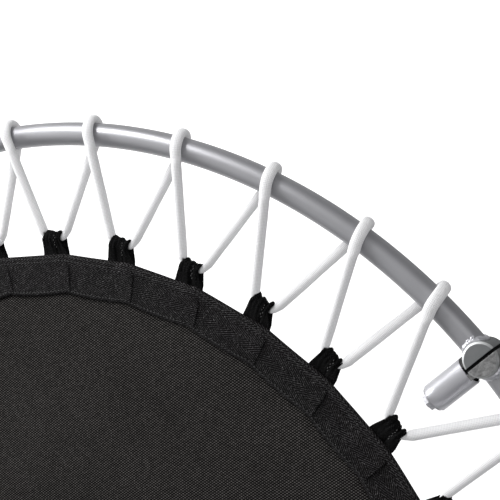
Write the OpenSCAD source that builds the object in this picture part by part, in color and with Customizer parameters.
// Folding mini trampoline: a round tube ring in two halves, hinged across the
// middle, with a woven mat held by one elastic cord laced over the ring and
// through webbing tabs, on four plug-in legs.
// Millimetres, +Z up, origin on the floor under the middle of the ring.
// The fold line lies along X. Half A is the +Y half, half B is the -Y half.
// Most pieces are drawn for half A and turned half a circle for half B.

/* [Ring] */
// Centreline radius of the ring
ring_r = 622.3; // [560:1:680]
// Outer radius of the ring tube
tube_r = 12.7; // [12:0.1:13.2]
// Wall of the ring tube
tube_wall = 1.5; // [1.2:0.1:2]
// Height of the ring centreline above the floor
ring_z = 300; // [240:5:360]

/* [Suspension] */
// Diameter of the elastic cord
cord_d = 10.5; // [9.5:0.1:10.6]
// Radius of the mat at its corners
mat_r = 491; // [470:1:495]
// Width of the edge band
band_w = 43; // [30:1:45]
// Width of a tab at its loop
tab_w = 28; // [24:1:30]

/* [Fold joint] */
// Depth of the fold axis below the ring centreline
axis_drop = 24; // [24:0.5:26]
// Radius of the half-round end posts
post_r = 17; // [16:0.5:17.5]
// Outer radius of the hinge barrel
barrel_r = 14.5; // [14:0.1:15]

/* [Legs] */
// Distance of each leg outside the ring centreline
leg_out = 38; // [38:0.5:42]
// Outer radius of a leg tube
leg_r = 12.7; // [12:0.1:13]

/* [Hidden] */
$fn = 96;
fold_gap = 0.5;  // half the parting gap of mat, band, tabs and cord
clear = 0.03;    // gap left between touching pieces
over = 1;        // how far a cutter runs past the face it cuts

// Which node to draw

steel = [0.74, 0.75, 0.77];
zinc = [0.66, 0.67, 0.69];
black = [0.05, 0.05, 0.055];
white = [0.9, 0.9, 0.9];

// ---------- helpers ----------

module up_ring() translate([0, 0, ring_z]) children();
module half_turn() rotate([0, 0, 180]) children();

// at both ends of the fold line
module both_ends() {
    children();
    mirror([1, 0, 0]) children();
}

// sweeps a profile along the ring centreline
module ring_sweep(start, turn)
    rotate([0, 0, start]) rotate_extrude(angle = turn, $fn = 180)
        translate([ring_r, 0]) children();

// angle from the fold line to a ring point at distance y from it
function fold_angle(y) = asin(y / ring_r);

// a cylinder on the fold axis
module along_x(x0, x1, radius)
    translate([x0, 0, -axis_drop]) rotate([0, 90, 0]) cylinder(h = x1 - x0, r = radius);

// the half A side of a piece, past the parting gap
module half_a_side() intersection() {
    children();
    translate([-1000, fold_gap, -200]) cube([2000, 1000, 400]);
}

// ---------- ring ----------

tube_end = 6.5;  // distance of the tube ends from the fold line

module ring_half() {
    start = fold_angle(tube_end);
    up_ring() ring_sweep(start, 180 - 2 * start) difference() {
        circle(tube_r);
        circle(tube_r - tube_wall);
    }
}

module frame_tube_a() color(steel) ring_half();
module frame_tube_b() color(steel) half_turn() ring_half();

// ---------- fold joint ----------
// Pieces are drawn at the +X end, with Z from the ring centreline.

post_top = 18;
post_bottom = -17;
post_flat_y = 1.5;             // half the width of the slot between the posts
post_outline = [               // radius, height
    [0, post_bottom], [post_r - 1, post_bottom], [post_r, post_bottom + 1],
    [post_r, post_top - 2], [post_r - 2, post_top], [0, post_top]
];

arm_inner_r = 10.4;
arm_len = 13.2;

bead_start = 8;                // distance from the fold line

pad_w = 31.8;
pad_gap = 0.08;                // between the pad and the half B post

barrel_len = 45;
barrel_wall = 2;
barrel_outer_x = ring_r - 27.4;
barrel_inner_x = barrel_outer_x - barrel_len;
bush_len = 12;

lug_x = ring_r - 26.5;
lug_t = 7;
lug_r = 9;

pin_r = 5;
pin_end_x = lug_x + lug_t + 0.1;
pin_head_r = 6.3;              // to the corners
pin_head_len = 5;

washer_r = 13;
nut_r = 9;                     // to the corners
nut_t = 5.6;

// upright half-round post on the end of the half A tube
module post() difference() {
    translate([ring_r, 0, 0]) rotate_extrude() polygon(post_outline);
    translate([ring_r - 30, -40 + post_flat_y, -40]) cube([60, 40, 80]);
    // socket for the tube end
    ring_sweep(fold_angle(tube_end - 0.05), 8) circle(tube_r + clear);
}

// part of the barrel wall carried out to the post
module post_arm()
    translate([barrel_outer_x + clear, 0, -axis_drop]) rotate([0, 90, 0])
        rotate([0, 0, 100]) rotate_extrude(angle = 60)
            translate([arm_inner_r, 0]) square([barrel_r - arm_inner_r, arm_len]);

// flat lug on the fold axis, tied up to the half B post
module lug() difference() {
    union() {
        along_x(lug_x, lug_x + lug_t, lug_r);
        translate([lug_x, -lug_r, -axis_drop + 1]) cube([12.5, 6.5, 18]);
    }
    along_x(lug_x - over, lug_x + lug_t + over, pin_r + clear);
    // room for the pin head below the post
    along_x(lug_x + lug_t, lug_x + 20, pin_head_r + 0.3);
}

module hinge_posts_a() color(zinc) up_ring() both_ends() union() {
    post();
    post_arm();
}

module hinge_posts_b() color(zinc) up_ring() both_ends() union() {
    mirror([0, 1, 0]) post();
    lug();
}

// raised bead round the tube where it enters the post
module bead() {
    start = fold_angle(bead_start);
    difference() {
        intersection() {
            translate([ring_r, 0, -20]) cylinder(h = 40, r = post_r + 2.6);
            ring_sweep(start, 3) circle(tube_r + 2.4);
        }
        translate([ring_r, 0, -30]) cylinder(h = 60, r = post_r + clear);
        ring_sweep(start - 0.2, 4) circle(tube_r + clear);
    }
}

module weld_beads_a() color(zinc) up_ring() both_ends() bead();
module weld_beads_b() color(zinc) up_ring() half_turn() both_ends() bead();

// pad in the slot between the two posts
module hinge_pads() color(black) up_ring() both_ends()
    translate([ring_r - pad_w / 2, -post_flat_y + pad_gap, post_bottom + 1.5])
        cube([pad_w, 2 * post_flat_y - pad_gap - clear, post_top - post_bottom - 2.2]);

module hinge_barrels() color(steel) up_ring() both_ends() difference() {
    along_x(barrel_inner_x, barrel_outer_x, barrel_r);
    along_x(barrel_inner_x - over, barrel_outer_x + over, barrel_r - barrel_wall);
}

module bush(x0) difference() {
    along_x(x0, x0 + bush_len, barrel_r - barrel_wall - clear);
    along_x(x0 - over, x0 + bush_len + over, pin_r + 0.05);
}

module hinge_bushes() color(black) up_ring() both_ends() {
    bush(barrel_outer_x - 20);
    bush(barrel_inner_x + 0.4);
}

// pin with a hexagonal head at its outer end
module hinge_pins() color(zinc) up_ring() both_ends() union() {
    along_x(barrel_inner_x - 9, pin_end_x, pin_r);
    translate([pin_end_x - 0.05, 0, -axis_drop]) rotate([0, 90, 0]) rotate([0, 0, 30])
        cylinder(h = pin_head_len, r = pin_head_r, $fn = 6);
}

module pin_washers() color(zinc) up_ring() both_ends() difference() {
    along_x(barrel_inner_x - 1.9, barrel_inner_x - 0.2, washer_r);
    along_x(barrel_inner_x - 4, barrel_inner_x + 2, pin_r + clear);
}

module pin_nuts() color(zinc) up_ring() both_ends() difference() {
    translate([barrel_inner_x - 7.6, 0, -axis_drop]) rotate([0, 90, 0])
        cylinder(h = nut_t, r = nut_r, $fn = 6);
    along_x(barrel_inner_x - 10, barrel_inner_x, pin_r + clear);
}

// ---------- suspension cord ----------

loops = 36;                        // tabs round the whole mat, one wrap between each pair
half_loops = loops / 2;
pitch = 360 / loops;
cord_r = cord_d / 2;
wrap_r = tube_r + 0.05 + cord_r;   // cord centreline radius round the tube
eye_r = mat_r + 17;                // radius at which the cord passes through the tabs
eye_half = tab_w / 2 + 0.6;        // half the cord length straight through a tab
fold_shift = 1.5;                  // degrees the end wraps stand off the posts
// half the angle a wrap covers, to where the strands leave it
wrap_half = 90 + asin(wrap_r / (ring_r - eye_r));

// a straight round cord between two points, shortened at both ends
module strand(from, to, start_cut = 1.6, end_cut = 4) {
    run = to - from;
    len_full = norm(run);
    translate(from) rotate([0, 0, atan2(run[1], run[0])]) rotate([0, acos(run[2] / len_full), 0])
        translate([0, 0, start_cut]) cylinder(h = len_full - start_cut - end_cut, r = cord_r);
}

// one wrap over the outside of the tube, open towards the mat
module wrap(angle)
    rotate([0, 0, angle]) translate([ring_r, 0, 0]) rotate([90, 0, 0])
        rotate([0, 0, -wrap_half]) rotate_extrude(angle = 2 * wrap_half, $fn = 72)
            translate([wrap_r, 0]) circle(cord_r, $fn = 48);

// point at a radius and angle, moved sideways along the tangent
function ring_point(radius, angle, side, z) = [
    radius * cos(angle) - side * sin(angle),
    radius * sin(angle) + side * cos(angle),
    z
];

// Both strands of the wrap at angle; middle is halfway between its two tabs.
// way 1: from over the tube to the clockwise tab.
// way -1: from under the tube to the counter-clockwise tab.
module strands(angle, middle) for (way = [1, -1]) {
    side = way * (tab_w / 2 + 4 + 0.5 * max(0, way * (middle - angle)));
    strand(ring_point(ring_r + wrap_r * cos(wrap_half), angle, 0, way * wrap_r * sin(wrap_half)),
           ring_point(eye_r, middle - way * pitch / 2, side, 0));
}

// cord passing through the tab at angle, from side0 to side1 along the tangent
module eye_piece(angle, side0, side1)
    rotate([0, 0, angle]) translate([eye_r, side0, 0]) rotate([-90, 0, 0])
        cylinder(h = side1 - side0, r = cord_r);

module cord_half() up_ring() {
    for (i = [0:half_loops - 1]) {
        middle = (i + 0.5) * pitch;
        shift = i == 0 ? fold_shift : i == half_loops - 1 ? -fold_shift : 0;
        wrap(middle + shift);
        strands(middle + shift, middle);
    }
    for (i = [1:half_loops - 1]) eye_piece(i * pitch, -eye_half, eye_half);
    eye_piece(0, fold_gap, eye_half);
    eye_piece(180, -eye_half, -fold_gap);
}

module cord_a() color(white) cord_half();
module cord_b() color(white) half_turn() cord_half();

// ---------- mat ----------

mat_t = 1;
band_t = 2;

// polygon with one corner at each tab
module corner_disc(radius)
    polygon([for (i = [0:loops - 1]) [radius * cos(i * pitch), radius * sin(i * pitch)]]);

module mat_half() up_ring() half_a_side()
    translate([0, 0, -mat_t / 2]) linear_extrude(mat_t) corner_disc(mat_r - 1);

// edge band on top of the mat
module band_half() up_ring() half_a_side()
    translate([0, 0, mat_t / 2 + 0.05]) linear_extrude(band_t) difference() {
        corner_disc(mat_r);
        corner_disc(mat_r - band_w);
    }

module mat_a() color(black) mat_half();
module mat_b() color(black) half_turn() mat_half();
module edge_band_a() color(black) band_half();
module edge_band_b() color(black) half_turn() band_half();

// side view of a tab: strap under the mat, closed loop round the cord
module tab_side() difference() {
    union() {
        translate([eye_r, 0]) circle(cord_r + 2);
        translate([mat_r + 0.6, -2.6]) square([14, 5.2]);
        translate([mat_r - 26, -3.4]) square([28, 2.8]);
    }
    translate([eye_r, 0]) circle(cord_r + 0.15);
}

module tab(width)
    rotate([90, 0, 0]) translate([0, 0, -width / 2]) linear_extrude(width) tab_side();

// whole tabs, with a half-width tab at each end of the fold line
module tabs_half() up_ring() {
    end_w = tab_w / 2 - fold_gap;
    end_y = fold_gap + end_w / 2;
    for (i = [1:half_loops - 1]) rotate([0, 0, i * pitch]) tab(tab_w);
    translate([0, end_y, 0]) tab(end_w);
    rotate([0, 0, 180]) translate([0, -end_y, 0]) tab(end_w);
}

module tabs_a() color(black) tabs_half();
module tabs_b() color(black) half_turn() tabs_half();

// ---------- legs ----------
// Pieces are drawn on the leg's own axis, with +X pointing out from the ring.

leg_angles = [87.4, 176.3];    // legs of half A, counter-clockwise from +X
leg_bottom = 12;
leg_wall = 1.5;

sleeve_r = 15;
sleeve_top = 12;               // above the ring centreline
sleeve_len = 42;

gusset_t = 6;

screw_drop = 16;               // screw axis below the ring centreline
screw_r = 3;
screw_hole_r = screw_r + 0.1;
boss_sink = 1.2;               // how far the boss starts inside the sleeve surface

// radius, height
cap_outline = [[0, 0], [sleeve_r, 0], [sleeve_r, 1.5], [sleeve_r - 2, 3.2], [0, 4]];
foot_outline = [
    [0, 0], [17.5, 0], [19, 1.5], [19, 9], [17, 13],
    [15.6, 38], [14.8, 40], [0, 40]
];

// along the radius of each leg, at a distance from the ring's middle
module at_legs(radius = ring_r + leg_out)
    for (angle = leg_angles) rotate([0, 0, angle]) translate([radius, 0, 0]) children();

// turns +Z out along the screw axis, starting at x from the leg axis
module on_screw_axis(x) translate([x, 0, ring_z - screw_drop]) rotate([0, 90, 0]) children();

module sleeve() up_ring() difference() {
    translate([0, 0, sleeve_top - sleeve_len]) cylinder(h = sleeve_len, r = sleeve_r);
    translate([0, 0, sleeve_top - sleeve_len - over])
        cylinder(h = sleeve_len + 2 * over, r = leg_r + 0.08);
    translate([0, 0, -screw_drop]) rotate([0, 90, 0]) cylinder(h = 30, r = screw_hole_r);
}

// upright plates between the ring tube and the sleeves
module gussets() up_ring() difference() {
    at_legs(ring_r + 4) translate([0, -gusset_t / 2, -20]) cube([leg_out - 12, gusset_t, 28]);
    ring_sweep(50, 130) circle(tube_r + clear);
    at_legs() translate([0, 0, -40]) cylinder(h = 80, r = sleeve_r + clear);
}

// cap on the sleeve, with a plug into it
module cap() up_ring() union() {
    translate([0, 0, sleeve_top + clear]) rotate_extrude() polygon(cap_outline);
    translate([0, 0, sleeve_top - 3.4]) cylinder(h = 3.6, r = leg_r - 0.4);
}

module leg_tube() difference() {
    translate([0, 0, leg_bottom]) cylinder(h = ring_z - leg_bottom + 8, r = leg_r);
    translate([0, 0, leg_bottom - over]) cylinder(h = ring_z + 20, r = leg_r - leg_wall);
}

module foot() difference() {
    rotate_extrude() polygon(foot_outline);
    translate([0, 0, leg_bottom - clear]) cylinder(h = 40, r = leg_r + clear);
}

// round boss on the sleeve, hollowed to fit it
module boss() on_screw_axis(sleeve_r - boss_sink) difference() {
    cylinder(h = 6.2, r = 6.5);
    translate([0, 0, -over]) cylinder(h = 12, r = screw_hole_r);
    translate([0, 0, boss_sink - sleeve_r]) rotate([0, -90, 0])
        translate([0, 0, -20]) cylinder(h = 40, r = sleeve_r + clear);
}

module screw() on_screw_axis(leg_r + 0.05) cylinder(h = 16.8, r = screw_r);

// six-lobed knob with a collar on its inner side
module knob() on_screw_axis(sleeve_r + 7.4) difference() {
    union() {
        cylinder(h = 3, r = 7);
        translate([0, 0, 3]) linear_extrude(9) union() {
            circle(10);
            for (i = [0:5]) rotate(60 * i) translate([9.5, 0]) circle(3.4);
        }
    }
    translate([0, 0, -over]) cylinder(h = 9, r = screw_r + clear);
}

module leg_sleeves_a() color(steel) at_legs() sleeve();
module leg_sleeves_b() color(steel) half_turn() at_legs() sleeve();
module leg_gussets_a() color(steel) gussets();
module leg_gussets_b() color(steel) half_turn() gussets();
module sleeve_caps_a() color(black) at_legs() cap();
module sleeve_caps_b() color(black) half_turn() at_legs() cap();
module leg_tubes_a() color(steel) at_legs() leg_tube();
module leg_tubes_b() color(steel) half_turn() at_legs() leg_tube();
module leg_feet_a() color(black) at_legs() foot();
module leg_feet_b() color(black) half_turn() at_legs() foot();
module screw_bosses_a() color(zinc) at_legs() boss();
module screw_bosses_b() color(zinc) half_turn() at_legs() boss();
module leg_screws_a() color(zinc) at_legs() screw();
module leg_screws_b() color(zinc) half_turn() at_legs() screw();
module screw_knobs_a() color(black) at_legs() knob();
module screw_knobs_b() color(black) half_turn() at_legs() knob();

// ---------- drawing ----------

frame_tube_a();
frame_tube_b();
hinge_posts_a();
hinge_posts_b();
weld_beads_a();
weld_beads_b();
hinge_pads();
hinge_barrels();
hinge_bushes();
hinge_pins();
pin_washers();
pin_nuts();
cord_a();
cord_b();
mat_a();
mat_b();
edge_band_a();
edge_band_b();
tabs_a();
tabs_b();
leg_sleeves_a();
leg_sleeves_b();
leg_gussets_a();
leg_gussets_b();
sleeve_caps_a();
sleeve_caps_b();
leg_tubes_a();
leg_tubes_b();
leg_feet_a();
leg_feet_b();
screw_bosses_a();
screw_bosses_b();
leg_screws_a();
leg_screws_b();
screw_knobs_a();
screw_knobs_b();
